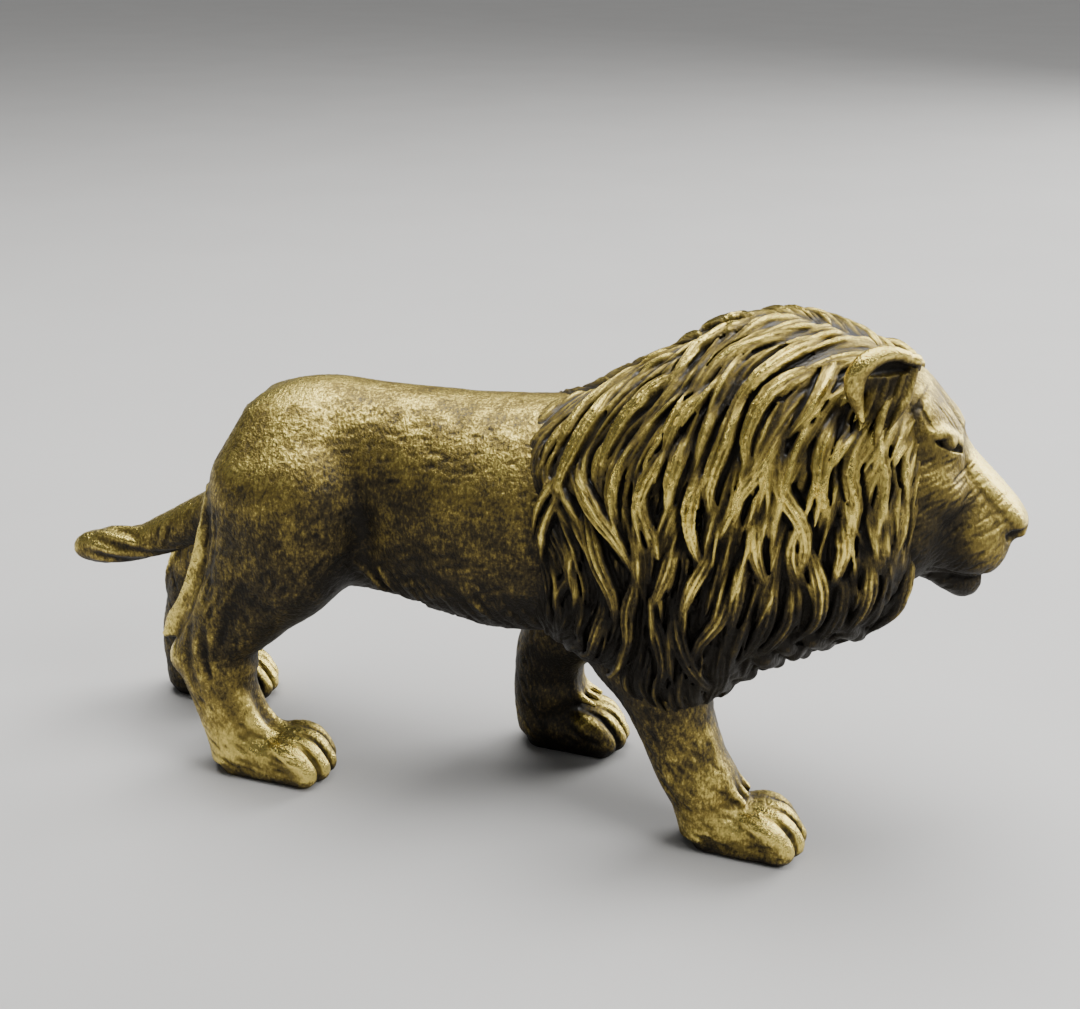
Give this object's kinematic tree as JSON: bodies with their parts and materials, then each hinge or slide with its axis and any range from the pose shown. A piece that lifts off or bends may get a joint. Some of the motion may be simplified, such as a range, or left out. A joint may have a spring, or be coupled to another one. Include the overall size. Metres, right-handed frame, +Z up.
{
  "type": "lion figurine",
  "caption": "Small solid brass lion in a walking pose, with a carved mane and an aged patina; stands free on its paws.",
  "frame": {"origin": "middle of the figure's length and width, on the ground under the paws (bottom centre of the bounding box)", "axes": "+X forwards, from the tail tip to the nose; +Y to the lion's left; +Z up"},
  "size_m": [0.0802, 0.0228, 0.0425],
  "materials": {
    "cast_brass": "antique cast brass: dark brown patina in the hollows, rubbed bright on the raised forms, semi-gloss",
    "dowel_brass": "drawn brass rod, plain satin; not seen from outside"
  },
  "bodies": {
    "root": {"trunk": "cast_brass", "mane": "cast_brass", "head": "cast_brass", "lower_jaw": "cast_brass", "right_ear": "cast_brass", "left_ear": "cast_brass", "tail": "cast_brass", "right_foreleg": "cast_brass", "left_foreleg": "cast_brass", "right_hindleg": "cast_brass", "left_hindleg": "cast_brass", "hip_dowel": "dowel_brass", "shoulder_dowel": "dowel_brass", "neck_dowel": "dowel_brass", "tail_dowel": "dowel_brass"}
  },
  "joints": []
}
